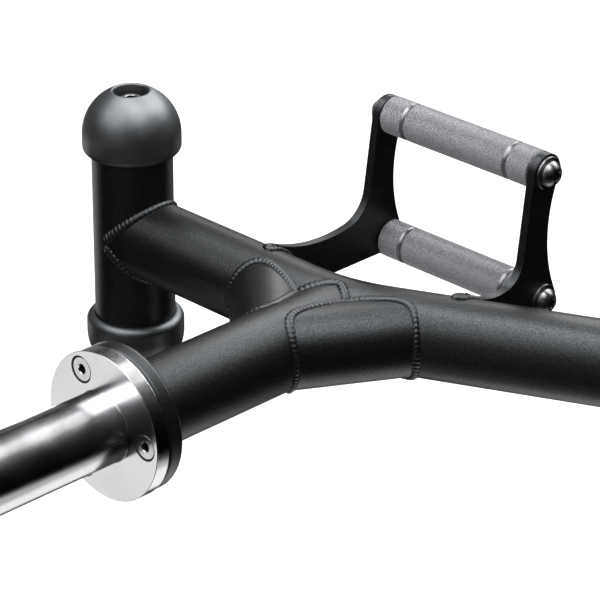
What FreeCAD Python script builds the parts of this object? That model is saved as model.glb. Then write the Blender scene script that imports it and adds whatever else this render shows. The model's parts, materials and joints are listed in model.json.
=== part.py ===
import FreeCAD, Part
import math
import os

# Open-ended hex bar, in millimetres and degrees.
# The origin is where the common axis of the two sleeves crosses the mid-plane of the bar.
# +X runs along the sleeves, +Y to the closed rear, minus Y to the open end, +Z up.
# Left is minus X and right is plus X.

# Frame layout, seen from above
collar_half_spacing = 655.0
arm_reach = 219.0
post_setback = 211.0
rear_depth = 400.0
side_turn_deg = 25.8
bend_radius = 150.0
rear_tube_run = 40.0
front_gusset_on_arm = 62.2
front_gusset_on_side = 71.0
rear_gusset_on_arm = 65.5
rear_gusset_on_side = 60.5

# Round tube of the frame, and the slightly thinner tube of its gussets
tube_radius = 30.0
tube_wall = 4.0
gusset_radius = 28.4

# Jack post and its plugs
post_half_height = 79.0
plug_thickness = 12.0

# Rubber caps of the jack post
cap_radius = 36.5
cap_skirt = 13.8
cap_rim_round = 5.5
cap_floor = 16.0
cap_recess_radius = 12.8
cap_recess_round = 1.5

# Washers and cap head screws in the cap recesses
cap_washer_radius = 11.0
cap_washer_thickness = 2.0
cap_screw_radius = 5.0
cap_screw_tip = 3.0
cap_head_radius = 8.0
cap_head_height = 10.0
cap_socket_width = 8.0
cap_socket_depth = 5.0

# Mounting flange on the arm
mounting_flange_radius = 51.4
mounting_flange_thickness = 14.0
mounting_flange_round = 4.0

# Flange of the sleeve
sleeve_flange_radius = 52.2
sleeve_flange_thickness = 11.0
sleeve_flange_chamfer = 0.8

# Countersunk screws of the flange
flange_screw_count = 3
flange_screw_pitch_radius = 40.0
flange_screw_radius = 5.0
flange_screw_tip = 2.0
flange_head_radius = 9.1
flange_head_sink = 0.6
flange_socket_width = 6.0
flange_socket_depth = 4.0

# Sleeve for the weight plates, whose shoulder seats in a shallow recess in the flange's face
sleeve_radius = 25.0
sleeve_wall = 6.0
sleeve_length = 415.0
sleeve_spigot_radius = 23.0
shoulder_width = 2.5
shoulder_height = 2.5
shoulder_seat_depth = 1.0
shoulder_clearance = 0.1
end_cap_thickness = 5.0
end_cap_chamfer = 2.0
end_cap_spigot = 18.0

# Grips
grip_inset = 127.5
grip_radius = 14.2
grip_length = 141.8
grip_rise = 98.0
grip_end_chamfer = 1.6
groove_depth = 0.5
groove_width = 4.0
groove_to_end = 20.1
grip_thread_depth = 32.0

# Handle plates
plate_thickness = 6.6
boss_radius = 13.8
waist_gap = 3.3
neck_side = 22.0
front_neck_foot = 44.0
rear_neck_foot = 37.0
front_heel_reach = 44.0
front_heel_height = 21.6
rear_heel_reach = 38.5
rear_heel_height = 19.8
plate_underside = 10.0
toe_rise = 3.4
toe_share = 0.5

# Bolts and washers of the handle
handle_bolt_radius = 5.0
handle_bolt_reach = 26.0
handle_washer_radius = 12.1
handle_washer_thickness = 2.2
handle_washer_chamfer = 0.5
handle_head_radius = 9.4
handle_head_height = 8.0
handle_head_rim = 1.6
handle_socket_width = 6.0
handle_socket_depth = 4.5

# Clearance of a screw in a plain hole, and how far a cutting shape runs past what it cuts
screw_clearance = 0.5
overrun = 2.0

# Places that follow from the layout
bend_x = collar_half_spacing - arm_reach
grip_x = bend_x - grip_inset
flange_back_x = collar_half_spacing - sleeve_flange_thickness
arm_end_x = flange_back_x - mounting_flange_thickness
rear_corner_x = bend_x - rear_depth * math.tan(math.radians(side_turn_deg))
rear_turn_deg = 90.0 - side_turn_deg
cap_apex = post_half_height + cap_radius

UP = FreeCAD.Vector(0, 0, 1)
OUT = FreeCAD.Vector(1, 0, 0)
REAR = FreeCAD.Vector(0, 1, 0)


def at(x, y, z):
    """Point in the frame of the bar."""
    return FreeCAD.Vector(x, y, z)


def rod(radius, start, end):
    """Round solid between two points."""
    run = end.sub(start)
    return Part.makeCylinder(radius, run.Length, start, run)


def lathe(points, centre, axis, side):
    """Solid turned about an axis, from points (radius, height along the axis)."""
    ring = [centre + side * r + axis * h for r, h in points]
    wire = Part.makePolygon(ring + [ring[0]])
    return Part.Face(wire).revolve(centre, axis, 360)


def hex_hole(width, depth, mouth, axis, side):
    """Hexagonal prism that runs from the mouth of a socket to its floor and past the mouth."""
    across = width / math.sqrt(3)
    other = axis.cross(side)
    start = mouth - axis * depth
    corner_count = 6
    ring = []
    for corner in range(corner_count):
        turn = 2 * math.pi * corner / corner_count
        ring.append(start + side * (across * math.cos(turn)) + other * (across * math.sin(turn)))
    wire = Part.makePolygon(ring + [ring[0]])
    return Part.Face(wire).extrude(axis * (depth + overrun))


def largest(shape):
    """The largest solid that a cut leaves."""
    return max(shape.Solids, key=lambda solid: solid.Volume)


def mirrored(shape):
    """The same piece on the left side of the bar."""
    return shape.mirror(at(0, 0, 0), OUT)


def save(node, *solids):
    """Write one node, which holds one solid or a group of like solids."""
    shape = solids[0] if len(solids) == 1 else Part.makeCompound(list(solids))
    shape.exportStep("parts/%s.step" % node)
    volume = sum(solid.Volume for solid in solids)
    print("%-28s %d solid(s)  %10.0f mm3  valid %s" % (node, len(shape.Solids), volume, shape.isValid()))


def save_pair(name, *solids):
    """Write a piece of the right side and its mirror image on the left side."""
    save(name + "_right", *solids)
    save(name + "_left", *[mirrored(solid) for solid in solids])


# Side tube: its axis runs from the post to the bend at the arm, inward to the rear, and round
# the rear corner to the crossbar.
def side_tube_path():
    turn = math.radians(side_turn_deg)
    inward = at(-math.sin(turn), math.cos(turn), 0)
    bend = at(bend_x, 0, 0)
    corner = at(rear_corner_x, rear_depth, 0)
    front_tangent = bend_radius * math.tan(turn / 2)
    rear_tangent = bend_radius * math.tan(math.radians(rear_turn_deg) / 2)
    points = [at(bend_x, -post_setback, 0)]
    edges = []
    for vertex, before, after, tangent in (
        (bend, REAR, inward, front_tangent),
        (corner, inward, OUT.negative(), rear_tangent),
    ):
        start = vertex - before * tangent
        end = vertex + after * tangent
        bisector = (after - before).normalize()
        reach = math.hypot(bend_radius, tangent) - bend_radius
        edges.append(Part.makeLine(points[-1], start))
        edges.append(Part.Arc(start, vertex + bisector * reach, end).toShape())
        points.append(end)
    last = points[-1] - OUT * rear_tube_run
    edges.append(Part.makeLine(points[-1], last))
    return Part.Wire(edges), last


def pipe(path, radius):
    """Solid round bar of a radius along the side tube's path."""
    start = at(bend_x, -post_setback, 0)
    ring = Part.Wire(Part.makeCircle(radius, start, REAR))
    return path.makePipeShell([ring], True, True)


def arm_envelope():
    return rod(tube_radius, at(bend_x, 0, 0), at(arm_end_x, 0, 0))


def post_rod(radius, half_height):
    middle = at(bend_x, -post_setback, 0)
    return rod(radius, middle - UP * half_height, middle + UP * half_height)


def side_tube(path):
    bore_radius = tube_radius - tube_wall
    tube = pipe(path, tube_radius).cut(pipe(path, bore_radius))
    return tube.cut(post_rod(tube_radius, post_half_height))


def rear_crossbar(side_end):
    half = side_end.x
    outer = rod(tube_radius, at(-half, rear_depth, 0), at(half, rear_depth, 0))
    inner = rod(tube_radius - tube_wall, at(-half, rear_depth, 0), at(half, rear_depth, 0))
    return outer.cut(inner)


def sleeve_arm(side_envelope):
    inner = rod(tube_radius - tube_wall, at(bend_x, 0, 0), at(arm_end_x, 0, 0))
    return largest(arm_envelope().cut(inner).cut(side_envelope))


def gusset(start, end, side_envelope):
    """Short tube between a point on the arm's axis and one on the side tube's, coped on both."""
    run = end.sub(start).normalize()
    start = start - run * tube_radius
    end = end + run * tube_radius
    tube = rod(gusset_radius, start, end).cut(rod(gusset_radius - tube_wall, start, end))
    return largest(tube.cut(side_envelope).cut(arm_envelope()))


def front_gusset(side_envelope):
    start = at(bend_x + front_gusset_on_arm, 0, 0)
    end = at(bend_x, -front_gusset_on_side, 0)
    return gusset(start, end, side_envelope)


def rear_gusset(side_envelope):
    turn = math.radians(side_turn_deg)
    start = at(bend_x + rear_gusset_on_arm, 0, 0)
    along = at(-math.sin(turn), math.cos(turn), 0)
    return gusset(start, at(bend_x, 0, 0) + along * rear_gusset_on_side, side_envelope)


# Jack post: tube, threaded plugs, rubber caps, washers and screws. Each is made for the upper
# end, and the lower one is its mirror image.
def lower(shape):
    return shape.mirror(at(0, 0, 0), UP)


def post_axis(height):
    return at(bend_x, -post_setback, height)


def jack_post():
    return post_rod(tube_radius, post_half_height).cut(
        post_rod(tube_radius - tube_wall, post_half_height + overrun))


def post_plug():
    disc = rod(tube_radius - tube_wall, post_axis(post_half_height - plug_thickness),
               post_axis(post_half_height))
    hole = rod(cap_screw_radius, post_axis(post_half_height - plug_thickness - overrun),
               post_axis(post_half_height + overrun))
    return disc.cut(hole)


def post_cap():
    rim = post_half_height - cap_skirt
    body = rod(cap_radius, post_axis(rim), post_axis(post_half_height))
    rim_edge = min(body.Edges, key=lambda edge: edge.CenterOfMass.z)
    body = body.makeFillet(cap_rim_round, [rim_edge])
    dome = Part.makeSphere(cap_radius, post_axis(post_half_height), UP, 0, 90, 360)
    floor = post_half_height + cap_floor
    socket = rod(tube_radius, post_axis(rim - overrun), post_axis(post_half_height))
    recess = rod(cap_recess_radius, post_axis(floor), post_axis(cap_apex + overrun))
    hole_radius = cap_screw_radius + screw_clearance
    hole = rod(hole_radius, post_axis(post_half_height - overrun), post_axis(floor + overrun))
    cap = body.fuse(dome).removeSplitter().cut(recess)
    recess_mouth = max(cap.Edges, key=lambda edge: edge.BoundBox.ZMin)
    return cap.makeFillet(cap_recess_round, [recess_mouth]).cut(socket).cut(hole)


def cap_washer():
    floor = post_half_height + cap_floor
    top = floor + cap_washer_thickness
    disc = rod(cap_washer_radius, post_axis(floor), post_axis(top))
    hole_radius = cap_screw_radius + screw_clearance
    return disc.cut(rod(hole_radius, post_axis(floor - overrun), post_axis(top + overrun)))


def cap_screw():
    seat = post_half_height + cap_floor + cap_washer_thickness
    tip = post_half_height - plug_thickness - cap_screw_tip
    shank = rod(cap_screw_radius, post_axis(tip), post_axis(seat))
    head = rod(cap_head_radius, post_axis(seat), post_axis(seat + cap_head_height))
    socket = hex_hole(cap_socket_width, cap_socket_depth, post_axis(seat + cap_head_height), UP, OUT)
    return shank.fuse(head).cut(socket)


# Collar: black mounting flange on the arm, chromed sleeve flange and its screws
def flange_screw_places():
    for number in range(flange_screw_count):
        turn = 2 * math.pi * number / flange_screw_count
        yield (REAR * math.cos(turn) + UP * math.sin(turn)) * flange_screw_pitch_radius


def mounting_flange():
    disc = rod(mounting_flange_radius, at(arm_end_x, 0, 0), at(flange_back_x, 0, 0))
    round_edges = [edge for edge in disc.Edges if edge.isClosed()]
    disc = disc.makeFillet(mounting_flange_round, round_edges)
    for place in flange_screw_places():
        disc = disc.cut(rod(flange_screw_radius, at(arm_end_x - overrun, 0, 0) + place,
                            at(flange_back_x + overrun, 0, 0) + place))
    return disc


def countersink(place, radius, face_x):
    """Cone of a countersunk head whose widest rim lies at face_x."""
    depth = radius - flange_screw_radius
    return Part.makeCone(flange_screw_radius, radius, depth, at(face_x - depth, 0, 0) + place, OUT)


def sleeve_flange():
    thickness = sleeve_flange_thickness
    chamfer = sleeve_flange_chamfer
    seat = thickness - shoulder_seat_depth
    seat_radius = sleeve_radius + shoulder_width + shoulder_clearance
    profile = [(sleeve_spigot_radius, 0), (sleeve_flange_radius - chamfer, 0),
               (sleeve_flange_radius, chamfer), (sleeve_flange_radius, thickness - chamfer),
               (sleeve_flange_radius - chamfer, thickness), (seat_radius, thickness),
               (seat_radius, seat), (sleeve_spigot_radius, seat)]
    disc = lathe(profile, at(flange_back_x, 0, 0), OUT, REAR)
    for place in flange_screw_places():
        hole_radius = flange_screw_radius + screw_clearance
        disc = disc.cut(rod(hole_radius, at(flange_back_x - overrun, 0, 0) + place,
                            at(collar_half_spacing + overrun, 0, 0) + place))
        mouth_radius = flange_head_radius + flange_head_sink
        disc = disc.cut(countersink(place, mouth_radius, collar_half_spacing))
    return disc


def flange_screw(place):
    face_x = collar_half_spacing - flange_head_sink
    head = countersink(place, flange_head_radius, face_x)
    shank = rod(flange_screw_radius, at(arm_end_x + flange_screw_tip, 0, 0) + place,
                at(face_x, 0, 0) + place)
    socket = hex_hole(flange_socket_width, flange_socket_depth, at(face_x, 0, 0) + place, OUT, REAR)
    return head.fuse(shank).removeSplitter().cut(socket)


# Sleeve: tube with a shoulder, from the mounting flange to its outer end, closed by a plug
def sleeve():
    bore_radius = sleeve_radius - sleeve_wall
    face = sleeve_flange_thickness
    seat = face - shoulder_seat_depth
    shoulder_radius = sleeve_radius + shoulder_width
    end = face + sleeve_length - end_cap_thickness
    profile = [(bore_radius, 0), (sleeve_spigot_radius, 0), (sleeve_spigot_radius, seat),
               (shoulder_radius, seat), (shoulder_radius, face),
               (sleeve_radius, face + shoulder_height), (sleeve_radius, end), (bore_radius, end)]
    return lathe(profile, at(flange_back_x, 0, 0), OUT, REAR)


def sleeve_end_cap():
    bore_radius = sleeve_radius - sleeve_wall
    chamfer = end_cap_chamfer
    profile = [(0, -end_cap_spigot), (bore_radius - chamfer, -end_cap_spigot),
               (bore_radius, chamfer - end_cap_spigot), (bore_radius, 0), (sleeve_radius, 0),
               (sleeve_radius, end_cap_thickness - chamfer),
               (sleeve_radius - chamfer, end_cap_thickness), (0, end_cap_thickness)]
    end_x = collar_half_spacing + sleeve_length - end_cap_thickness
    return lathe(profile, at(end_x, 0, 0), OUT, REAR)


# Handle: two plates, two grips, and the bolts and washers that clamp them
def tangent_arc(start, heading, end):
    """Arc that leaves start along a heading and ends at end, with its heading there."""
    chord = end.sub(start)
    half_turn = math.atan2(heading.x * chord.z - heading.z * chord.x, heading.dot(chord))
    radius = chord.Length / (2 * math.sin(half_turn))
    left = at(-heading.z, 0, heading.x)
    centre = start + left * radius
    chord_way = at(chord.x, 0, chord.z).normalize()
    away = at(chord_way.z, 0, -chord_way.x)
    middle = centre + away * radius
    end_heading = chord_way * (2 * math.cos(half_turn)) - heading
    return Part.Arc(start, middle, end).toShape(), end_heading


def plate_outline(y, neck_foot, heel_reach, heel_height, toe):
    """Outline of a handle plate in the plane y, with its toe on the side tube."""
    upper = at(grip_x, y, grip_rise)
    lower_boss = at(grip_x, y, 0)
    half_rise = grip_rise / 2
    step = boss_radius - waist_gap
    centre_gap = (half_rise ** 2 - step ** 2) / (2 * step)
    waist_centre = at(grip_x - centre_gap, y, half_rise)
    waist = waist_centre + OUT * (centre_gap - waist_gap)
    upper_touch = upper + (waist_centre - upper).normalize() * boss_radius
    lower_touch = lower_boss + (waist_centre - lower_boss).normalize() * boss_radius
    neck = at(grip_x + neck_side, y, neck_foot)
    slant = neck - upper
    swing = math.acos(boss_radius / slant.Length)
    way = math.atan2(slant.z, slant.x) + swing
    neck_touch = upper + at(math.cos(way), 0, math.sin(way)) * boss_radius
    under = lower_boss + at(math.sqrt(boss_radius ** 2 - plate_underside ** 2), 0, -plate_underside)
    heel = at(grip_x + heel_reach, y, heel_height)
    neck_way = (neck - neck_touch).normalize()
    neck_arc, heel_way = tangent_arc(neck, neck_way, heel)
    toe_arc, _ = tangent_arc(heel, heel_way, toe)
    low_toe = at(toe.x, y, -plate_underside)
    edges = [
        Part.Arc(upper_touch, waist, lower_touch).toShape(),
        Part.Arc(lower_touch, lower_boss - UP * boss_radius, under).toShape(),
        Part.makeLine(under, low_toe),
        Part.makeLine(low_toe, toe),
        toe_arc,
        neck_arc,
        Part.makeLine(neck, neck_touch),
        Part.Arc(neck_touch, upper + UP * boss_radius, upper_touch).toShape(),
    ]
    return Part.Wire(edges)


def handle_plate(y, tube_x, tube_half_width, neck_foot, heel_reach, heel_height, side_envelope):
    """Plate from y to the rear of it, coped on the side tube, which is at tube_x there."""
    toe_x = tube_x - tube_half_width * toe_share
    toe_z = tube_radius * math.sqrt(1 - toe_share ** 2) + toe_rise
    wire = plate_outline(y, neck_foot, heel_reach, heel_height, at(toe_x, y, toe_z))
    plate = Part.Face(wire).extrude(REAR * plate_thickness)
    hole_radius = handle_bolt_radius + screw_clearance
    for z in (0, grip_rise):
        plate = plate.cut(rod(hole_radius, at(grip_x, y - overrun, z),
                              at(grip_x, y + plate_thickness + overrun, z)))
    return largest(plate.cut(side_envelope))


def front_handle_plate(side_envelope):
    y = -grip_length / 2 - plate_thickness
    return handle_plate(y, bend_x, tube_radius, front_neck_foot, front_heel_reach,
                        front_heel_height, side_envelope)


def rear_handle_plate(side_envelope):
    turn = math.radians(side_turn_deg)
    y = grip_length / 2
    tube_x = bend_x - (y + plate_thickness / 2) * math.tan(turn)
    return handle_plate(y, tube_x, tube_radius / math.cos(turn), rear_neck_foot, rear_heel_reach,
                        rear_heel_height, side_envelope)


def grip(z):
    half = grip_length / 2
    chamfer = grip_end_chamfer
    low_radius = grip_radius - groove_depth
    inner = half - groove_to_end - groove_width
    outer = half - groove_to_end
    right_half = [(grip_radius, inner), (low_radius, inner), (low_radius, outer),
                  (grip_radius, outer), (grip_radius, half - chamfer),
                  (grip_radius - chamfer, half), (0, half)]
    left_half = [(r, -h) for r, h in reversed(right_half)]
    bar = lathe(left_half + right_half, at(grip_x, 0, z), REAR, OUT)
    for way in (-1, 1):
        mouth = at(grip_x, way * (half + overrun), z)
        bar = bar.cut(rod(handle_bolt_radius, at(grip_x, way * (half - grip_thread_depth), z), mouth))
    return bar


def handle_washer(z, way):
    """Washer on the outer face of the front plate (way -1) or of the rear one (way 1)."""
    chamfer = handle_washer_chamfer
    top = handle_washer_thickness
    hole_radius = handle_bolt_radius + screw_clearance
    face = at(grip_x, way * (grip_length / 2 + plate_thickness), z)
    profile = [(hole_radius, 0), (handle_washer_radius, 0), (handle_washer_radius, top - chamfer),
               (handle_washer_radius - chamfer, top), (hole_radius, top)]
    return lathe(profile, face, REAR * way, OUT)


def handle_bolt(z, way):
    """Button head screw through washer and plate into the end of a grip."""
    axis = REAR * way
    face = grip_length / 2 + plate_thickness + handle_washer_thickness
    seat = at(grip_x, way * face, z)
    tip = at(grip_x, way * (grip_length / 2 - handle_bolt_reach), z)
    crown = handle_head_height - handle_head_rim
    ball = (handle_head_radius ** 2 + crown ** 2) / (2 * crown)
    rim = rod(handle_head_radius, seat, seat + axis * handle_head_height)
    dome = Part.makeSphere(ball, seat + axis * (handle_head_height - ball))
    socket = hex_hole(handle_socket_width, handle_socket_depth, seat + axis * handle_head_height,
                      axis, OUT)
    return rim.common(dome).fuse(rod(handle_bolt_radius, tip, seat)).cut(socket)


def build_frame():
    path, side_end = side_tube_path()
    side_envelope = pipe(path, tube_radius)
    save("rear_crossbar", rear_crossbar(side_end))
    save_pair("side_tube", side_tube(path))
    save_pair("sleeve_arm", sleeve_arm(side_envelope))
    save_pair("front_gusset", front_gusset(side_envelope))
    save_pair("rear_gusset", rear_gusset(side_envelope))
    save_pair("handle_plate_front", front_handle_plate(side_envelope))
    save_pair("handle_plate_rear", rear_handle_plate(side_envelope))


def build_post():
    save_pair("jack_post", jack_post())
    save_pair("post_plugs", post_plug(), lower(post_plug()))
    save_pair("top_cap", post_cap())
    save_pair("bottom_cap", lower(post_cap()))
    save_pair("cap_washers", cap_washer(), lower(cap_washer()))
    save_pair("cap_screws", cap_screw(), lower(cap_screw()))


def build_sleeve():
    save_pair("mounting_flange", mounting_flange())
    save_pair("sleeve_flange", sleeve_flange())
    save_pair("flange_screws", *[flange_screw(place) for place in flange_screw_places()])
    save_pair("sleeve", sleeve())
    save_pair("sleeve_end_cap", sleeve_end_cap())


def build_handle():
    save_pair("upper_grip", grip(grip_rise))
    save_pair("lower_grip", grip(0))
    places = [(z, way) for z in (0, grip_rise) for way in (-1, 1)]
    save_pair("handle_washers", *[handle_washer(z, way) for z, way in places])
    save_pair("handle_bolts", *[handle_bolt(z, way) for z, way in places])


os.makedirs("parts", exist_ok=True)
build_frame()
build_post()
build_sleeve()
build_handle()
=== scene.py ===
# %% [markdown]
# The open-ended hex bar arrives here as finished metal: every tube, plate and screw already has its
# real size and place. What is left is what a product photographer cares about: coat, chrome, knurl,
# weld beads and light. Everything is in metres, with X along the sleeves and Z up.

# %% Load the bar and keep its overall box
import bmesh
import bpy
import json
import math
from mathutils import Matrix, Vector


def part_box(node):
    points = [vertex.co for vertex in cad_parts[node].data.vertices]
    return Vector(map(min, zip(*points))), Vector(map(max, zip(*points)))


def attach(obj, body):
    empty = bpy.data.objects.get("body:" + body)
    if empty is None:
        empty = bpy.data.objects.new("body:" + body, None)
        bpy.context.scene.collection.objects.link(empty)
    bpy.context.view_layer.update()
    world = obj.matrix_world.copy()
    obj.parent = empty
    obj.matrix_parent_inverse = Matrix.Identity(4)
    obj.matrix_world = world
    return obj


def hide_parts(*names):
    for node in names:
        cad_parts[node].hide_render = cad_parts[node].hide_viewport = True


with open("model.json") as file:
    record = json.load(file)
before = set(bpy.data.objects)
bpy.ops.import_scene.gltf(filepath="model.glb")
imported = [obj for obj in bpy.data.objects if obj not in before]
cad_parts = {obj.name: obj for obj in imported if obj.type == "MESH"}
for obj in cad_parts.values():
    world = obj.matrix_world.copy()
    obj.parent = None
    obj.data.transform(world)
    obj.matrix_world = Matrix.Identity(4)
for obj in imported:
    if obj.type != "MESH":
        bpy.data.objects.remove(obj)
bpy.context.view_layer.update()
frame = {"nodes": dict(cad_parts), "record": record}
nodes = frame["nodes"]

# %% [markdown]
# Most sizes can be read off the loaded pieces. The post stands on the end of the side tube, so its
# middle gives the tube's line and its radius. A few sizes don't show in a box, such as the angle at
# which the side tube turns inward beside the sleeve arm, so they are named here.

# %% Sizes read from the pieces
MM = 0.001
UP = Vector((0, 0, 1))
OUT = Vector((1, 0, 0))
REAR = Vector((0, 1, 0))

post_low, post_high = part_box("jack_post_right")
arm_end_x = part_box("sleeve_arm_right")[1].x
grip_low, grip_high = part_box("upper_grip_right")
flange_low, flange_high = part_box("sleeve_flange_right")
tube_radius = (post_high.x - post_low.x) / 2
bend = Vector(((post_high.x + post_low.x) / 2, 0, 0))
post_foot = Vector((bend.x, (post_high.y + post_low.y) / 2, 0))
grip_x = (grip_low.x + grip_high.x) / 2
grip_radius = (grip_high.x - grip_low.x) / 2
print("tube radius %.1f mm, bend %.1f mm from the middle" % (tube_radius / MM, bend.x / MM))

# %% Sizes that a box can't show
side_turn = math.radians(25.8)
bend_radius = 150 * MM
gusset_radius = 28.4 * MM
front_gusset_on_arm, front_gusset_on_side = 62.2 * MM, 71.0 * MM
rear_gusset_on_arm, rear_gusset_on_side = 65.5 * MM, 60.5 * MM
inward = Vector((-math.sin(side_turn), math.cos(side_turn), 0))
print("the side tube turns %.1f degrees inward" % math.degrees(side_turn))

# %% [markdown]
# A piece made here has to move with the bar, to say whose finish it wears, and to stand for the
# loaded piece that it replaces. The bar is symmetric, so each piece is made once on the right side
# and its mesh is mirrored for the left side. Mirroring turns a mesh inside out, so its faces are
# flipped back. Big flat faces keep an even shine because the normals are weighted by face area.

# %% Add a piece and its mirror image
def put(name, data):
    """New object in the scene, from a mesh, a lamp's data or a camera's."""
    item = bpy.data.objects.new(name, data)
    bpy.context.scene.collection.objects.link(item)
    return item


def add_piece(name, mesh, material, replaced, crease_deg):
    """Add a mesh to the bar, in one finish or in a tuple of finishes."""
    for coat in (material if isinstance(material, tuple) else (material,)):
        mesh.materials.append(coat)
    mesh.shade_smooth()
    mesh.set_sharp_from_angle(angle=math.radians(crease_deg))
    piece = put(name, mesh)
    even = piece.modifiers.new("even shine", "WEIGHTED_NORMAL")
    even.keep_sharp = True
    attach(piece, "root")
    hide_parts(*replaced)


def add_pair(name, mesh, material, replaces_node=True, crease_deg=35):
    """Add a piece on the right side and its mirror image on the left side."""
    twin = mesh.copy()
    twin.transform(Matrix.Scale(-1, 4, OUT))
    twin.flip_normals()
    for side, shape in (("right", mesh), ("left", twin)):
        node = "%s_%s" % (name, side)
        title = node + "_detailed" if replaces_node else node
        add_piece(title, shape, material, [node] if replaces_node else [], crease_deg)
    print("%s: %d faces on each side" % (name, len(mesh.polygons)))

# %% [markdown]
# Caps, bolts, washers and sleeves are all turned parts. A lathe helper takes half of the outline as
# points (radius, height). A second helper rounds its corners first, because the bright line on a
# rounded edge is what makes metal look machined. A third one adds a ring near the ends of each long
# stretch, because smooth shading would otherwise make a straight wall look swollen there. The mesh
# itself is rows of points, with faces from each row to the next. The weld beads are built so too.

# %% Rows of points and the faces between them
def evenly(first, last, steps):
    """Values at even distances, from the first to the last."""
    return [first + (last - first) * k / steps for k in range(steps + 1)]


def polar(radius, turn):
    """Point on a circle, from its radius and an angle."""
    return radius * math.cos(turn), radius * math.sin(turn)


def skin(bm, rows, closed):
    """Faces from each row to the next, and from the last to the first if closed."""
    for low, high in list(zip(rows, rows[1:])) + ([(rows[-1], rows[0])] if closed else []):
        for k in range(max(len(low), len(high))):
            corners = (low[k % len(low)], low[(k + 1) % len(low)],
                       high[(k + 1) % len(high)], high[k % len(high)])
            bm.faces.new(dict.fromkeys(corners))


def sealed(bm, name):
    """Finished mesh from the worked one."""
    mesh = bpy.data.meshes.new(name)
    bm.to_mesh(mesh)
    bm.free()
    return mesh


# %% A lathe with rounded corners
def rounded(corners, radii, arc_steps=5):
    """Outline through the corners, each rounded by its own radius, where 0 keeps it sharp."""
    outline = []
    count = len(corners)
    for k, (corner, radius) in enumerate(zip(corners, radii)):
        here = Vector(corner)
        if radius == 0:
            outline.append(here)
            continue
        before = (Vector(corners[k - 1]) - here).normalized()
        after = (Vector(corners[(k + 1) % count]) - here).normalized()
        half = before.angle(after) / 2
        centre = here + (before + after).normalized() * (radius / math.sin(half))
        start = here + before * (radius / math.tan(half)) - centre
        end = here + after * (radius / math.tan(half)) - centre
        for step in range(arc_steps + 1):
            outline.append(centre + start.slerp(end, step / arc_steps).normalized() * radius)
    return [tuple(point) for point in outline]


def held(outline, reach=0.25 * MM):
    """Add a ring near both ends of each long stretch, so that its shading stays straight."""
    points = []
    for start, end in zip(outline, outline[1:]):
        points.append(start)
        length = math.dist(start, end)
        if length > 4 * reach:
            for share in (reach / length, 1 - reach / length):
                points.append(tuple(a + (b - a) * share for a, b in zip(start, end)))
    return points + [outline[-1]]


def turned(outline, steps=96, ring=False, hair=1e-9):
    """Mesh turned about Z. A ring's outline closes on itself, others start and end on the axis.

    A radius under a hair lies on the axis and gets a single point."""
    bm = bmesh.new()
    rows = []
    for radius, height in held(outline):
        spokes = steps if radius > hair else 1
        rows.append([bm.verts.new((*polar(radius, 2 * math.pi * k / steps), height))
                     for k in range(spokes)])
    skin(bm, rows, ring)
    bmesh.ops.recalc_face_normals(bm, faces=bm.faces)
    return sealed(bm, "turned")


def placed(mesh, centre, axis=UP, twist=0.0):
    """Copy of a mesh whose Z is turned to an axis and whose origin is moved to the centre."""
    moved = mesh.copy()
    turn = UP.rotation_difference(axis).to_matrix().to_4x4()
    moved.transform(Matrix.Translation(centre) @ turn @ Matrix.Rotation(twist, 4, "Z"))
    return moved


def joined(meshes):
    """All the meshes as one mesh, so that a set of screws can be one piece."""
    bm = bmesh.new()
    for mesh in meshes:
        bm.from_mesh(mesh)
    return sealed(bm, "joined")


# %% Cut one mesh with others
def with_modifiers(body):
    """Mesh of an object once its modifiers have worked."""
    return bpy.data.meshes.new_from_object(body.evaluated_get(bpy.context.evaluated_depsgraph_get()))


def cut(mesh, cutters):
    """The mesh with the cutters taken out of it."""
    body, tool = put("body", mesh), put("tool", joined(cutters))
    boolean = body.modifiers.new("cut", "BOOLEAN")
    boolean.object = tool
    boolean.solver = "EXACT"
    result = with_modifiers(body)
    for item in (body, tool):
        bpy.data.objects.remove(item)
    return result

# %% [markdown]
# The frame wears a satin black powder coat: baked powder leaves a fine grain, about a millimetre
# across, over very gentle waves. An image of grain would stretch round the tubes, so the grain is
# noise in the bar's own space, fed to a bump. The same recipe with other numbers gives the rubber of
# the caps and the plating of the screws. Black coats shine a little cooler than the lamps that light
# them, so their gloss has a cool tint.

# %% A finish with grain
def finish(name, settings):
    """A material whose shader has the given settings."""
    material = bpy.data.materials.new(name)
    material.use_nodes = True
    shader = material.node_tree.nodes["Principled BSDF"]
    for socket, value in settings.items():
        shader.inputs[socket].default_value = value
    return material


def link(material, source, target):
    """Wire two sockets of a material."""
    material.node_tree.links.new(source, target)


def noise(material, grain_size, detail=2.0):
    """Noise whose lumps are about one grain size across, in the bar's own space."""
    tree = material.node_tree
    place = tree.nodes.new("ShaderNodeTexCoord")
    texture = tree.nodes.new("ShaderNodeTexNoise")
    texture.inputs["Scale"].default_value = 1 / grain_size
    texture.inputs["Detail"].default_value = detail
    link(material, place.outputs["Object"], texture.inputs["Vector"])
    return texture


def add_grain(material, layers):
    """Bump from several layers of noise, each with a grain size, a height and a strength."""
    shader = material.node_tree.nodes["Principled BSDF"]
    below = None
    for grain_size, height, strength in layers:
        bump = material.node_tree.nodes.new("ShaderNodeBump")
        bump.inputs["Distance"].default_value = height
        bump.inputs["Strength"].default_value = strength
        link(material, noise(material, grain_size).outputs["Fac"], bump.inputs["Height"])
        if below:
            link(material, below.outputs["Normal"], bump.inputs["Normal"])
        below = bump
    link(material, below.outputs["Normal"], shader.inputs["Normal"])


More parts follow.
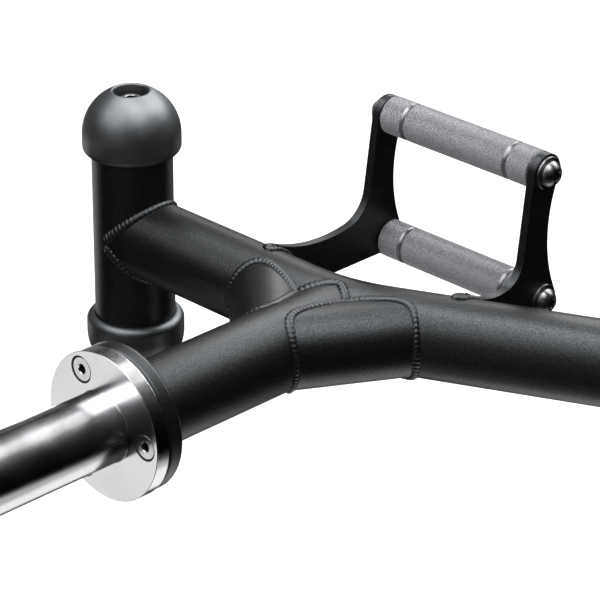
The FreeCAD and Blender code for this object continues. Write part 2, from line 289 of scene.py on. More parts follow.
def vary(material, socket, grain_size, low, high, detail=3.0):
    """Let a number or a colour drift between two values from place to place.

    Noise seldom leaves the band from 0.35 to 0.65, so the two values are reached at its ends."""
    shader = material.node_tree.nodes["Principled BSDF"]
    ramp = material.node_tree.nodes.new("ShaderNodeValToRGB")
    ends = ramp.color_ramp.elements
    for end, spot, value in ((ends[0], 0.35, low), (ends[1], 0.65, high)):
        end.position = spot
        end.color = (value, value, value, 1) if isinstance(value, float) else (*value, 1)
    link(material, noise(material, grain_size, detail).outputs["Fac"], ramp.inputs["Fac"])
    link(material, ramp.outputs["Color"], shader.inputs[socket])


# %% Black powder coat, rubber and flange coat
cool_shine = (0.90, 0.955, 1.0, 1)
powder_coat = finish("powder coat", {"Roughness": 0.38, "Specular Tint": cool_shine})
vary(powder_coat, "Base Color", 1.1 * MM, (0.0008, 0.0009, 0.0010), (0.0026, 0.0027, 0.0030))
vary(powder_coat, "Specular IOR Level", 0.9 * MM, 0.40, 1.0)
add_grain(powder_coat, [(9 * MM, 0.3 * MM, 0.06), (1.0 * MM, 0.14 * MM, 1.0)])

weld_coat = finish("coat over the weld beads", {"Roughness": 0.35, "Specular IOR Level": 0.75,
                                                "Specular Tint": cool_shine})
vary(weld_coat, "Base Color", 1.4 * MM, (0.0012, 0.0013, 0.0015), (0.0034, 0.0036, 0.0040))
add_grain(weld_coat, [(0.8 * MM, 0.06 * MM, 0.3)])

cap_rubber = finish("cap rubber", {"IOR": 1.9, "Specular IOR Level": 1.0, "Specular Tint": cool_shine})
vary(cap_rubber, "Base Color", 14 * MM, (0.0020, 0.0021, 0.0024), (0.0032, 0.0034, 0.0038))
vary(cap_rubber, "Roughness", 6 * MM, 0.42, 0.47)
add_grain(cap_rubber, [(0.5 * MM, 0.02 * MM, 0.25)])

flange_coat = finish("mounting flange coat", {"Roughness": 0.34, "Specular IOR Level": 0.75,
                                              "Specular Tint": cool_shine})
vary(flange_coat, "Base Color", 3 * MM, (0.0015, 0.0016, 0.0018), (0.0030, 0.0032, 0.0035))
add_grain(flange_coat, [(1.2 * MM, 0.05 * MM, 0.25)])
print("black finishes:", ", ".join(coat.name for coat in (powder_coat, weld_coat, cap_rubber, flange_coat)))

# %% [markdown]
# Chrome is a mirror, so it has hardly any colour of its own and shows the studio. What makes it look
# real is that its polish isn't perfect: the roughness drifts a little, and turning leaves a faint
# waviness. The knurled grips have a satin plating, whose tiny crystals scatter light softly, so they
# are only half metallic here and wear a thin sheen. That is why they look grey from every side.

# %% Chrome, knurl and screw plating
sleeve_chrome = finish("sleeve chrome", {"Base Color": (0.80, 0.80, 0.82, 1), "Metallic": 1.0})
vary(sleeve_chrome, "Roughness", 30 * MM, 0.19, 0.25)
add_grain(sleeve_chrome, [(14 * MM, 0.1 * MM, 0.02)])

knurl_steel = finish("knurled grip steel", {"Metallic": 0.5, "Roughness": 0.5, "Sheen Weight": 0.3,
                                            "Sheen Roughness": 0.35})
vary(knurl_steel, "Base Color", 0.9 * MM, (0.15, 0.152, 0.162), (0.33, 0.335, 0.355))
add_grain(knurl_steel, [(0.35 * MM, 0.03 * MM, 0.3)])

groove_steel = finish("turned grip groove", {"Base Color": (0.25, 0.25, 0.26, 1), "Metallic": 0.9})
vary(groove_steel, "Roughness", 3 * MM, 0.32, 0.40)

bolt_chrome = finish("bolt chrome", {"Base Color": (0.28, 0.28, 0.29, 1), "Metallic": 1.0})
vary(bolt_chrome, "Roughness", 5 * MM, 0.28, 0.36)
add_grain(bolt_chrome, [(0.6 * MM, 0.02 * MM, 0.15)])

screw_plating = finish("screw plating", {"Base Color": (0.70, 0.70, 0.72, 1), "Metallic": 1.0})
vary(screw_plating, "Roughness", 2 * MM, 0.18, 0.28)
add_grain(screw_plating, [(0.5 * MM, 0.02 * MM, 0.2)])

cap_screw_steel = finish("cap screw zinc", {"Base Color": (0.32, 0.32, 0.33, 1), "Metallic": 1.0})
vary(cap_screw_steel, "Roughness", 2 * MM, 0.30, 0.42)

# Painted shade: this near-black finish goes on the walls inside sockets and countersinks, where shade
# falls.
painted_socket_shade = finish("painted shade of sockets and countersinks", {"Base Color": (0.006, 0.006, 0.007, 1)})
vary(painted_socket_shade, "Roughness", 1 * MM, 0.5, 0.65)

plug_steel = finish("bare plug steel", {"Base Color": (0.35, 0.34, 0.33, 1), "Metallic": 1.0})
vary(plug_steel, "Roughness", 2 * MM, 0.35, 0.50)
print(len(bpy.data.materials), "finishes so far")

# %% Dress every loaded piece by its slot
finish_of_slot = {
    "frame_black": powder_coat, "flange_black": flange_coat, "cap_rubber": cap_rubber,
    "sleeve_chrome": sleeve_chrome, "grip_steel": knurl_steel, "bolt_chrome": bolt_chrome,
    "screw_steel": screw_plating, "plug_steel": plug_steel,
}
for row in frame["record"]["subparts"]:
    nodes[row["node"]].material_slots[0].material = finish_of_slot[row["material_slot"]]

# %% [markdown]
# Where two tubes meet, the welder lays a bead that looks like a stack of coins. To lay it in the right
# place, the seam is found first: each line along the surface of one tube is followed until it is one
# tube radius from the axis of the other. Stretches of the seam that lie inside a third tube have no
# bead. Working the seam out from the axes keeps the beads right if a size changes.

# %% The axes of the tubes
def arc_points(corner, before, after, radius, steps=24):
    """Points of the arc that rounds a corner of the tube's axis."""
    turn = before.angle(after)
    tangent = radius * math.tan(turn / 2)
    centre = corner + (after - before).normalized() * math.hypot(radius, tangent)
    start = corner - before * tangent - centre
    end = corner + after * tangent - centre
    return [centre + start.slerp(end, step / steps).normalized() * radius for step in range(steps + 1)]


# The seams lie near the bend, so the side tube's axis needs only a short reach towards the rear.
rear_reach = 250 * MM
side_axis = [post_foot] + arc_points(bend, REAR, inward, bend_radius) + [bend + inward * rear_reach]
arm_axis = [bend, Vector((arm_end_x, 0, 0))]
front_gusset_axis = [bend + OUT * front_gusset_on_arm, bend - REAR * front_gusset_on_side]
rear_gusset_axis = [bend + OUT * rear_gusset_on_arm, bend + inward * rear_gusset_on_side]
post_axis = [Vector((*post_foot.xy, post_low.z)), Vector((*post_foot.xy, post_high.z))]


def nearest_on(axis, point):
    """Point of an axis that is nearest to a point."""
    best = None
    for start, end in zip(axis, axis[1:]):
        along = end - start
        share = min(1, max(0, (point - start).dot(along) / along.length_squared))
        spot = start + along * share
        if best is None or (spot - point).length < (best - point).length:
            best = spot
    return best


def gap_to(axis, point):
    """How far a point lies from an axis."""
    return (nearest_on(axis, point) - point).length


print("side tube's axis has", len(side_axis), "points")


# %% Follow a seam round a tube
farthest, step, slack, halvings = 300 * MM, 2 * MM, 3 * MM, 18


def seam(start, towards, host, others, radius=tube_radius, lines=120):
    """Seam of a tube that runs from start towards a point, on the host tube.

    Each line along the tube goes forward in steps, and the last step is halved until it is exact.
    Each entry is (place, outward direction), or None where the seam is inside another tube."""
    run = (towards - start).normalized()
    side = run.orthogonal().normalized()
    other_side = run.cross(side)
    found = []
    for line in range(lines):
        turn = 2 * math.pi * line / lines
        spoke = side * math.cos(turn) + other_side * math.sin(turn)
        foot = start + spoke * radius
        reach = 0.0
        if gap_to(host, foot) < tube_radius:
            found.append(None)
            continue
        while reach < farthest and gap_to(host, foot + run * reach) > tube_radius:
            reach += step
        low, high = reach - step, reach
        for _ in range(halvings):
            middle = (low + high) / 2
            if gap_to(host, foot + run * middle) > tube_radius:
                low = middle
            else:
                high = middle
        point = foot + run * low
        hidden = any(gap_to(axis, point) < size - slack for axis, size in others)
        outward = spoke + (point - nearest_on(host, point)).normalized()
        found.append(None if hidden or reach >= farthest else (point, outward.normalized()))
    return found


def open_runs(found, fewest=4):
    """Split a seam at its gaps. Gives (points, closed) for each stretch that is left."""
    if None not in found:
        return [(found, True)]
    first_gap = found.index(None)
    runs, current = [], []
    for entry in found[first_gap:] + found[:first_gap] + [None]:
        if entry is not None:
            current.append(entry)
        elif current:
            runs.append((current, False))
            current = []
    return [run for run in runs if len(run[0]) >= fewest]


# %% [markdown]
# A hand never runs like a machine. So the ripples of a bead wander a little, the bead swells and thins
# along its way, and its relief is deeper at some places than at others. Each of these is one or two
# slow waves. Where a bead starts and stops it tapers, and it is wider than it is tall.

# %% Lay a bead along a seam
bead_radius, plate_bead_radius, thick_bead_radius = 2.5 * MM, 3.0 * MM, 3.1 * MM
ripple_pitch = 3.5 * MM
tall_share, wide_share = 0.9, 1.2
crescent_share, taper_share = 0.45, 0.25


def even_points(path, closed, spacing):
    """The path again, with points at even distances."""
    entries = path + [path[0]] if closed else path
    lengths = [0.0]
    for (a, _), (b, _) in zip(entries, entries[1:]):
        lengths.append(lengths[-1] + (b - a).length)
    count = max(8, round(lengths[-1] / spacing))
    evened, k = [], 0
    for step in range(count if closed else count + 1):
        wanted = lengths[-1] * step / count
        while k < len(lengths) - 2 and lengths[k + 1] < wanted:
            k += 1
        share = (wanted - lengths[k]) / max(1e-9, lengths[k + 1] - lengths[k])
        place = entries[k][0].lerp(entries[k + 1][0], share)
        outward = entries[k][1].lerp(entries[k + 1][1], share).normalized()
        evened.append((place, outward, wanted))
    return evened, lengths[-1]


def eased(points, closed, rounds=30):
    """The same path with its sharp turns rounded, as a hand leads the torch round a corner."""
    places = [place for place, _, _ in points]
    for _ in range(rounds):
        middles = [(places[k - 1] + places[k] * 2 + places[(k + 1) % len(places)]) / 4
                   for k in range(len(places))]
        places = middles if closed else [places[0]] + middles[1:-1] + [places[-1]]
    return [(place, outward, along) for place, (_, outward, along) in zip(places, points)]


def wave(along, length, size, start=0.0):
    """Height of a slow wave at a place along the bead."""
    return size * math.sin(along / length + start)


def bead(path, closed, radius=bead_radius, around=12, spacing=0.45 * MM):
    """Rippled weld bead along a path, with crescent ripples like a stack of coins."""
    points, length = even_points(path, closed, spacing)
    points = eased(points, closed)
    ripples = max(1, round(length / ripple_pitch))
    pitch = length / ripples
    bm = bmesh.new()
    rows = []
    for k, (place, outward, along) in enumerate(points):
        ahead = points[(k + 1) % len(points)][0] if closed or k + 1 < len(points) else place
        behind = points[k - 1][0] if closed or k > 0 else place
        forward = (ahead - behind).normalized()
        across = forward.cross(outward).normalized()
        ends = 1.0 if closed else min(1.0, taper_share + min(along, length - along) / (1.5 * radius))
        wander = wave(along, 11 * MM, 0.10) + wave(along, 4.7 * MM, 0.08, 1.3)
        swell = 1 + wave(along, 17 * MM, 0.10, 0.7) + wave(along, 6.1 * MM, 0.07)
        relief = 0.34 - 0.14 * outward.z + wave(along, 13 * MM, 0.10, 2.0)
        row = []
        for spoke in range(around):
            turn = 2 * math.pi * spoke / around
            ripple = (along / pitch + wander - crescent_share * math.sin(turn) ** 2) % 1.0
            coin = math.sqrt(max(0.0, 1 - (2 * ripple - 1) ** 2))
            reach = radius * ends * swell * (1 - relief + relief * coin)
            rise, spread = math.cos(turn) * reach * tall_share, math.sin(turn) * reach * wide_share
            offset = outward * rise + across * spread
            row.append(bm.verts.new(place + offset))
        rows.append(row)
    skin(bm, rows, closed)
    if not closed:
        bm.faces.new(rows[0])
        bm.faces.new(rows[-1])
    bmesh.ops.recalc_face_normals(bm, faces=bm.faces)
    return sealed(bm, "bead")


# %% Beads between the tubes
def weld(name, beads):
    """Add beads on both sides of the bar. They are new, so they replace no loaded piece."""
    add_pair(name, joined(beads), weld_coat, replaces_node=False)


def lay(name, *seams, radius=bead_radius):
    """Weld the open stretches of one or more seams."""
    weld(name, [bead(points, closed, radius) for found in seams for points, closed in open_runs(found)])


gussets = [(front_gusset_axis, gusset_radius), (rear_gusset_axis, gusset_radius)]
arm_radius = tube_radius - 0.3 * MM
beyond_gusset, before_post = 60 * MM, 100 * MM
lay("weld_sleeve_arm", seam(arm_axis[1], bend, side_axis, gussets, arm_radius), radius=thick_bead_radius)
for label, (on_arm, on_side) in (("front", front_gusset_axis), ("rear", rear_gusset_axis)):
    beyond = on_side + (on_side - on_arm).normalized() * beyond_gusset
    lay("weld_%s_gusset" % label,
        seam(beyond, on_arm, arm_axis, [(side_axis, tube_radius)], gusset_radius),
        seam(on_arm, on_side, side_axis, [(arm_axis, tube_radius)], gusset_radius))
lay("weld_jack_post", seam(bend - REAR * before_post, post_foot, post_axis, []), radius=thick_bead_radius)

# %% [markdown]
# The feet of the handle plates are welded all round. Their bead runs down one face of the plate along
# the tube, round the toe and up again along the other face. The rear plate crosses the tube at a
# slant, so the tube's section in the plane of that plate is an ellipse.

# %% Beads round the feet of the handle plates and the plain joints
toe_deg, heel_deg, toe_bulge_deg = 104, 203, 4
side_steps, end_steps, lean = 40, 8, 0.6


def foot_loop(plate, turn_here, gap=0.6 * MM):
    """Closed path round the foot of a handle plate, on the side tube.

    Along the plate's faces the bead leans away from the plate."""
    low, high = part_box(plate)
    half_width = tube_radius / math.cos(turn_here)
    normal_way = Vector((math.cos(turn_here), math.sin(turn_here), 0))

    def on_tube(y, degrees):
        turn = math.radians(degrees)
        axis_x = bend.x - (y * math.tan(turn_here) if turn_here else 0)
        place = Vector((axis_x + half_width * math.cos(turn), y, tube_radius * math.sin(turn)))
        return place, (normal_way * math.cos(turn) + UP * math.sin(turn)).normalized()

    path = []

    def along_face(y, first, last, lean_way):
        for degrees in evenly(first, last, side_steps):
            place, out = on_tube(y, degrees)
            path.append((place, (out + lean_way * lean).normalized()))

    def round_end(first, last, degrees, bulge):
        for k in range(1, end_steps):
            path.append(on_tube(first + (last - first) * k / end_steps,
                                degrees - bulge * math.sin(math.pi * k / end_steps)))

    near, far = low.y - gap, high.y + gap
    along_face(near, heel_deg, toe_deg, -REAR)
    round_end(near, far, toe_deg, toe_bulge_deg)
    along_face(far, toe_deg, heel_deg, REAR)
    round_end(far, near, heel_deg, 0)
    return path


def ring_path(centre, axis, radius, lines=120):
    """Closed path round a tube's end."""
    side = axis.orthogonal().normalized()
    spokes = [Matrix.Rotation(2 * math.pi * k / lines, 3, axis) @ side for k in range(lines)]
    return [(centre + spoke * radius, spoke) for spoke in spokes]


weld("weld_handle_plates", [
    bead(foot_loop("handle_plate_%s_right" % side, turn_here), True, plate_bead_radius)
    for side, turn_here in (("front", 0), ("rear", side_turn))])

bar_low, bar_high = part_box("rear_crossbar")
crossbar_end = Vector((bar_high.x, (bar_low.y + bar_high.y) / 2, 0))
crossbar_inset, flange_inset = 2.4 * MM, 1 * MM
weld("weld_crossbar", [bead(ring_path(crossbar_end, OUT, tube_radius - crossbar_inset), True)])
weld("weld_mounting_flange", [bead(ring_path(arm_axis[1] - OUT * flange_inset, OUT, tube_radius), True)])

# %% [markdown]
# Each end of the jack post wears a domed rubber cap, which is what the floor sees when the bar is
# tipped. It is half a ball over a short skirt, with a recess for the screw that holds it. Turning its
# real section gives the soft rims that rubber has. The lower cap is the upper one, mirrored.

# %% Rubber caps, their washers and their screws
def arc(middle, radius, first, last, steps):
    """Points (radius, height) of a round, from one angle to another."""
    spokes = [polar(radius, turn) for turn in evenly(first, last, steps)]
    return [(middle[0] + x, middle[1] + y) for x, y in spokes]


cap_radius = 36.5 * MM
cap_washer_radius, cap_washer_thick = 11 * MM, 2 * MM
skirt_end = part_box("top_cap_right")[0].z
dome_base = post_high.z
recess_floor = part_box("cap_washers_right")[1].z - cap_washer_thick
recess_radius, recess_round = 12.8 * MM, 1.5 * MM
screw_hole = 5.5 * MM

round_centre_radius = recess_radius + recess_round
round_centre_rise = math.sqrt((cap_radius - recess_round) ** 2 - round_centre_radius ** 2)
dome_end = math.atan2(round_centre_rise, round_centre_radius)
dome = arc((0, dome_base), cap_radius, 0, dome_end, 28)
mouth = arc((round_centre_radius, dome_base + round_centre_rise), recess_round, dome_end, math.pi, 6)[1:]
skirt = rounded([(tube_radius, dome_base), (tube_radius, skirt_end), (cap_radius, skirt_end),
                 (cap_radius, dome_base)], [0, 0.8 * MM, 5.5 * MM, 0], 8)
inside = [(recess_radius, recess_floor), (screw_hole, recess_floor), (screw_hole, dome_base)]
cap = placed(turned(skirt[:-1] + dome + mouth + inside, 128, ring=True), Vector((*post_foot.xy, 0)))


def upside_down(mesh):
    """Copy of a mesh of the upper cap, mirrored to the lower one."""
    twin = mesh.copy()
    twin.transform(Matrix.Scale(-1, 4, UP))
    twin.flip_normals()
    return twin


add_pair("top_cap", cap, cap_rubber)
add_pair("bottom_cap", upside_down(cap), cap_rubber)

# %% [markdown]
# A hex socket is pressed into a screw's head with a small cone round its mouth. Both are cut out of
# the turned head, one after the other, and the walls inside get a near-black finish as painted shade.

# %% Hex sockets
overrun = 2 * MM


def hex_cutter(width, depth, top, lead):
    """Six-sided plug with a small lead-in cone, to cut a socket down from the top of a screw."""
    bm = bmesh.new()
    reach, above = width / 2 / math.cos(math.pi / 6), top + overrun
    corners = [polar(reach, math.pi * k / 3) for k in range(6)]
    low = [bm.verts.new((x, y, top - depth)) for x, y in corners]
    high = [bm.verts.new((x, y, above)) for x, y in corners]
    bm.faces.new(low[::-1])
    bm.faces.new(high)
    for k in range(6):
        bm.faces.new((low[k - 1], low[k], high[k], high[k - 1]))
    narrow, broad = reach - lead * 0.4, reach + lead * 0.8
    cone = turned([(0, top - lead), (narrow, top - lead), (broad, top + lead * 0.2), (broad, above),
                   (0, above)], 48)
    return [sealed(bm, "plug"), cone]


def paint_pit_shade(mesh, radius, level):
    """Give the second finish, painted shade, to faces near the axis that lie below a level: the inside of a
    socket.
    """
    for face in mesh.polygons:
        if math.hypot(face.center.x, face.center.y) < radius and face.center.z < level:
            face.material_index = 1
    return mesh


def socketed(screw, width, depth, top, pit, below, lead=0.5 * MM):
    """The screw with a hex socket in its top, painted dark as shade inside the pit's radius and a bit below
    the top.
    """
    for layer in hex_cutter(width, depth, top, lead):
        screw = cut(screw, [layer])
    return paint_pit_shade(screw, pit, top - below)


# %% The caps' washers and screws
washer_outline = rounded([(screw_hole, 0), (cap_washer_radius, 0), (cap_washer_radius, cap_washer_thick),
                          (screw_hole, cap_washer_thick)], [0, 0.3 * MM, 0.5 * MM, 0.3 * MM], 4)
cap_washer = placed(turned(washer_outline, 96, ring=True), Vector((*post_foot.xy, recess_floor)))
add_pair("cap_washers", joined([cap_washer, upside_down(cap_washer)]), cap_screw_steel)

shank_radius, shank_long, head_wide, head_tall = 5 * MM, 33 * MM, 8 * MM, 10 * MM
head_outline = [(0, -shank_long), (shank_radius, -shank_long), (shank_radius, 0)] + rounded(
    [(shank_radius, 0), (head_wide, 0), (head_wide, head_tall), (0, head_tall)], [0, 0.4 * MM, 1.0 * MM, 0])
cap_screw = socketed(turned(head_outline, 64), width=8 * MM, depth=5 * MM, top=head_tall, pit=4.7 * MM,
                     below=0.1 * MM)
cap_screw = placed(cap_screw, Vector((*post_foot.xy, recess_floor + cap_washer_thick)))
add_pair("cap_screws", joined([cap_screw, upside_down(cap_screw)]),
         (cap_screw_steel, painted_socket_shade))

# %% [markdown]
# The sleeve is a chromed tube whose foot has a small shoulder, seated in a chromed disc. Three
# countersunk screws hold the disc to the black mounting flange. The heads sit a little below the
# face, and the countersink wall round each head carries painted shade, a dark line that shows they are
# screws.

# %% Sleeve, its flange and its screws
sleeve_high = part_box("sleeve_right")[1]
flange_back = Vector((flange_low.x, 0, 0))
thick = flange_high.x - flange_low.x
flange_radius = (flange_high.y - flange_low.y) / 2
seat_radius, seat = 27.5 * MM, thick - 1 * MM
spigot, bore, sleeve_radius = 23 * MM, 19 * MM, 25 * MM
screw_circle, screw_deep = 40 * MM, 12 * MM
head_radius, head_sink, head_cone = 8.7 * MM, 0.6 * MM, 4.1 * MM
sink_radius, sink_cone, face_slack = 9.7 * MM, 4.2 * MM, 0.02 * MM
screw_places = [REAR * y + UP * z for y, z in (polar(screw_circle, 2 * math.pi * k / 3) for k in range(3))]

disc_outline = rounded([(spigot, 0), (flange_radius, 0), (flange_radius, thick), (seat_radius, thick),
                        (seat_radius, seat), (spigot, seat)], [0, 0.5 * MM, 0.4 * MM, 0, 0, 0])
hole_outline = [(0, -overrun), (screw_hole, -overrun), (screw_hole, thick - sink_cone),
                (sink_radius, thick), (sink_radius, thick + overrun), (0, thick + overrun)]
holes = [placed(turned(hole_outline, 64), flange_back + place, OUT) for place in screw_places]
disc = cut(placed(turned(disc_outline, 160, ring=True), flange_back, OUT), holes)
# Painted shade: faces of the countersink walls get the near-black second finish.
for face in disc.polygons:
    from_holes = [(face.center - flange_back - place).cross(OUT).length for place in screw_places]
    if face.center.x < flange_high.x - face_slack and min(from_holes) < sink_radius + 0.05 * MM:
        face.material_index = 1
add_pair("sleeve_flange", disc, (sleeve_chrome, painted_socket_shade))

# %% The flange's screws
head_face = thick - head_sink
screw_outline = [(0, -screw_deep), (shank_radius, -screw_deep), (shank_radius, head_face - head_cone)]
screw_outline += rounded([(shank_radius, head_face - head_cone), (head_radius, head_face), (0, head_face)],
                         [0, 0.25 * MM, 0])[1:]
flange_screw = socketed(turned(screw_outline, 64), width=6 * MM, depth=4 * MM, top=head_face,
                        pit=3.9 * MM, below=0.3 * MM)
add_pair("flange_screws", joined([placed(flange_screw, flange_back + place, OUT, twist)
                                  for place, twist in zip(screw_places, (0.2, 0.9, 1.5))]),
         (screw_plating, painted_socket_shade))

# %% The sleeve and its end plug
foot_fillet, outer_round = 0.6 * MM, 0.3 * MM
foot = thick + foot_fillet
sleeve_end = sleeve_high.x - flange_low.x
seat_part = [(bore, 0), (spigot, 0), (spigot, seat), (seat_radius, seat), (seat_radius, thick)]
foot_curve = [(sleeve_radius + foot_fillet * (1 - math.sin(turn)), foot - foot_fillet * math.cos(turn))
              for turn in evenly(0, math.pi / 2, 8)]
barrel = [(sleeve_radius, height) for height in evenly(foot, sleeve_end, 8)[1:-1]]
outer_end = rounded([barrel[-1], (sleeve_radius, sleeve_end), (bore, sleeve_end)], [0, outer_round, 0])[1:]
add_pair("sleeve", placed(turned(seat_part + foot_curve + barrel + outer_end, 160, ring=True), flange_back,
                          OUT), sleeve_chrome)

plug_tip, plug_deep, plug_neck = 17 * MM, 18 * MM, 16 * MM
lid, dish, dish_rim, dish_radius = 5 * MM, 4.4 * MM, 15 * MM, 14 * MM
plug_outline = rounded([(0, -plug_deep), (plug_tip, -plug_deep), (bore, -plug_neck), (bore, 0),
                        (sleeve_radius, 0), (sleeve_radius, lid), (dish_rim, lid), (dish_radius, dish),
                        (0, dish)], [0, 0, 0, 0, 0.2 * MM, 2.0 * MM, 0.5 * MM, 0.5 * MM, 0])
add_pair("sleeve_end_cap", placed(turned(plug_outline, 160), OUT * sleeve_high.x, OUT),
         sleeve_chrome)

# %% [markdown]
# A knurled grip is rolled between two toothed wheels, which press crossing grooves and leave rows of
# tiny pyramids. The rows here are real: points at even places stay high, points at odd places sink,
# and each small square is split from valley to valley. A polished groove near each end marks the
# hand's place.

# %% Knurled grips
knurl_count, knurl_pitch, knurl_depth = 120, 0.82 * MM, 0.34 * MM
grip_half = (grip_high.y - grip_low.y) / 2
groove_width, groove_depth, groove_lip, groove_to_end = 4.0 * MM, 0.5 * MM, 0.15 * MM, 20.1 * MM
end_chamfer = 1.6 * MM
groove_outer, groove_inner = grip_half - groove_to_end, grip_half - groove_to_end - groove_width


def knurled_rows(start, end):
    """Rows of alternating peaks and valleys from start to end, as (height, radii, is knurl)."""
    count = 2 * round((end - start) / knurl_pitch / 2)
    low = grip_radius - knurl_depth
    return [(height, [grip_radius if (k + spoke) % 2 == 0 else low for spoke in range(knurl_count)],
             k < count) for k, height in enumerate(evenly(start, end, count))]


def plain_row(height, radius):
    """A smooth row of one radius."""
    return (height, [radius] * knurl_count, False)


def hollow_rows(start, end, steps=10):
    """Rows of a turned groove with a round bottom."""
    rim = grip_radius - groove_lip
    return [plain_row(start + (end - start) * k / steps,
                      rim - (groove_depth - groove_lip) * math.sin(math.pi * k / steps))
            for k in range(steps + 1)]


def knurled_grip():
    """Grip along Z, from chamfer to chamfer. Smooth faces get the second finish."""
    rows = [plain_row(-grip_half, grip_radius - end_chamfer)]
    rows += knurled_rows(end_chamfer - grip_half, -groove_outer)
    rows += hollow_rows(-groove_outer, -groove_inner)
    rows += knurled_rows(-groove_inner, groove_inner)
    rows += hollow_rows(groove_inner, groove_outer)
    rows += knurled_rows(groove_outer, grip_half - end_chamfer)
    rows += [plain_row(grip_half, grip_radius - end_chamfer)]
    bm = bmesh.new()
    rings = []
    for height, radii, _ in rows:
        rings.append([bm.verts.new((*polar(radius, 2 * math.pi * spoke / knurl_count), height))
                      for spoke, radius in enumerate(radii)])
    for number, (low, high) in enumerate(zip(rings, rings[1:])):
        is_knurl = rows[number][2]
        for spoke in range(knurl_count):
            after = (spoke + 1) % knurl_count
            a, b, c, d = low[spoke], low[after], high[after], high[spoke]
            if not is_knurl:
                bm.faces.new((a, b, c, d)).material_index = 1
            elif rows[number][1][spoke] == grip_radius:
                bm.faces.new((a, b, d))
                bm.faces.new((b, c, d))
            else:
                bm.faces.new((a, b, c))
                bm.faces.new((a, c, d))
    bm.faces.new(rings[0][::-1]).material_index = 1
    bm.faces.new(rings[-1]).material_index = 1
    return sealed(bm, "grip")


grip_mesh = knurled_grip()
for name in ("upper_grip", "lower_grip"):
    low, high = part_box(name + "_right")
    middle = (low + high) / 2
    add_pair(name, placed(grip_mesh, middle, REAR), (knurl_steel, groove_steel),
             crease_deg=12)

# %% [markdown]
# Button head screws pull the plates against the grips. Their heads are low domes, and a polished
# washer under each one is a little wider, so that two bright rings show round the hex socket.

# %% Handle bolts and washers
washer_thick, washer_radius = 2.2 * MM, 12.1 * MM
bolt_rim, bolt_height, bolt_long, bolt_chamfer = 1.6 * MM, 8 * MM, 35 * MM, 0.3 * MM
button_radius, flat_radius = 9.4 * MM, 4.6 * MM
crown = bolt_height - bolt_rim
ball = (button_radius ** 2 + crown ** 2) / (2 * crown)
dome_from, dome_to = math.asin(button_radius / ball), math.asin(flat_radius / ball)
button = [(0, -bolt_long), (shank_radius, -bolt_long), (shank_radius, 0), (button_radius - bolt_chamfer, 0),
          (button_radius, bolt_chamfer)]
button += [(ball * math.sin(turn), bolt_height - ball + ball * math.cos(turn))
           for turn in evenly(dome_from, dome_to, 12)]
bolt_top = button[-1][1]
bolt = socketed(turned(button + [(0, bolt_top)], 96), width=6 * MM,
                depth=4.5 * MM - (bolt_height - bolt_top), top=bolt_top, pit=3.8 * MM, below=0.2 * MM,
                lead=0.35 * MM)
washer = turned(rounded([(screw_hole, 0), (washer_radius, 0), (washer_radius, washer_thick),
                         (screw_hole, washer_thick)], [0, 0.3 * MM, 0.6 * MM, 0.3 * MM], 4), 96, ring=True)
seat_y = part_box("handle_washers_right")[1].y
grip_boxes = [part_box(name) for name in ("upper_grip_right", "lower_grip_right")]
grip_levels = [(low.z + high.z) / 2 for low, high in grip_boxes]
spots = [(Vector((grip_x, way * seat_y, level)), REAR * way) for level in grip_levels for way in (-1, 1)]
twists = (0.3, 0.75, 0.5, 0.1)
add_pair("handle_bolts", joined([placed(bolt, spot, way, twist) for (spot, way), twist
                                 in zip(spots, twists)]), (bolt_chrome, painted_socket_shade))
add_pair("handle_washers", joined([placed(washer, spot - way * washer_thick, way) for spot, way in spots]),
         bolt_chrome)

# %% [markdown]
# The handle plates are flame cut, so their edges are square, but the powder draws back from a sharp
# edge and bakes to a small round. That round is what draws the thin bright line down each plate. It
# is made from the loaded plate: flat areas are first joined to single faces, so that the bevel finds
# only the real edges.

# %% Handle plates with baked edges
def soft_edged(node, width=0.7 * MM):
    """Copy of a loaded piece whose edges are rounded."""
    body = put("plate", nodes[node].data.copy())
    body.data.materials.clear()
    merge = body.modifiers.new("join corners", "WELD")
    merge.merge_threshold = 0.01 * MM
    flats = body.modifiers.new("join flats", "DECIMATE")
    flats.decimate_type = "DISSOLVE"
    flats.angle_limit = math.radians(1.0)
    round_over = body.modifiers.new("baked edge", "BEVEL")
    round_over.width = width
    round_over.segments = 3
    round_over.angle_limit = math.radians(50)
    mesh = with_modifiers(body)
    bpy.data.objects.remove(body)
    return mesh


for name in ("handle_plate_front", "handle_plate_rear"):
    add_pair(name, soft_edged(name + "_right"), powder_coat)

# %% [markdown]
# The floor and the world are plain and white. They light the bar softly at a strength near 1, at
# which a colour renders about as it is written, and Light Path lets the camera, gloss and glass see
# them at their own strength. The floor is hidden from gloss, because what the tubes and the chrome
# mirror is worked out card by card further down.

# %% White backdrop and floor
def light_path_mix(tree, soft, seen):
    """One strength for soft light, another for what is seen directly, mirrored or seen through glass."""
    path = tree.nodes.new("ShaderNodeLightPath")
    last = path.outputs["Is Camera Ray"]
    for kind in ("Is Glossy Ray", "Is Transmission Ray"):
        either = tree.nodes.new("ShaderNodeMath")
        either.operation = "MAXIMUM"
        tree.links.new(last, either.inputs[0])
        tree.links.new(path.outputs[kind], either.inputs[1])
        last = either.outputs[0]
    strength = tree.nodes.new("ShaderNodeMapRange")
    strength.inputs["To Min"].default_value = soft
    strength.inputs["To Max"].default_value = seen
    tree.links.new(last, strength.inputs["Value"])
    return strength.outputs["Result"]


def sheet(name, corners, faces, material):
    """Flat or folded sheet of the studio, which isn't part of the bar."""
    mesh = bpy.data.meshes.new(name)
    mesh.from_pydata([tuple(corner) for corner in corners], [], faces)
    mesh.materials.append(material)
    piece = put(name, mesh)
    return piece


def rectangle(centre, across, along):
    """Corners of a rectangle, from its centre and two half sides."""
    return [centre - across - along, centre + across - along, centre + across + along,
            centre - across + along]


world = bpy.data.worlds.new("studio")
bpy.context.scene.world = world
world.use_nodes = True
backdrop = world.node_tree.nodes["Background"]
backdrop.inputs["Color"].default_value = (1, 1, 1, 1)
world.node_tree.links.new(light_path_mix(world.node_tree, 0.9, 1.0), backdrop.inputs["Strength"])

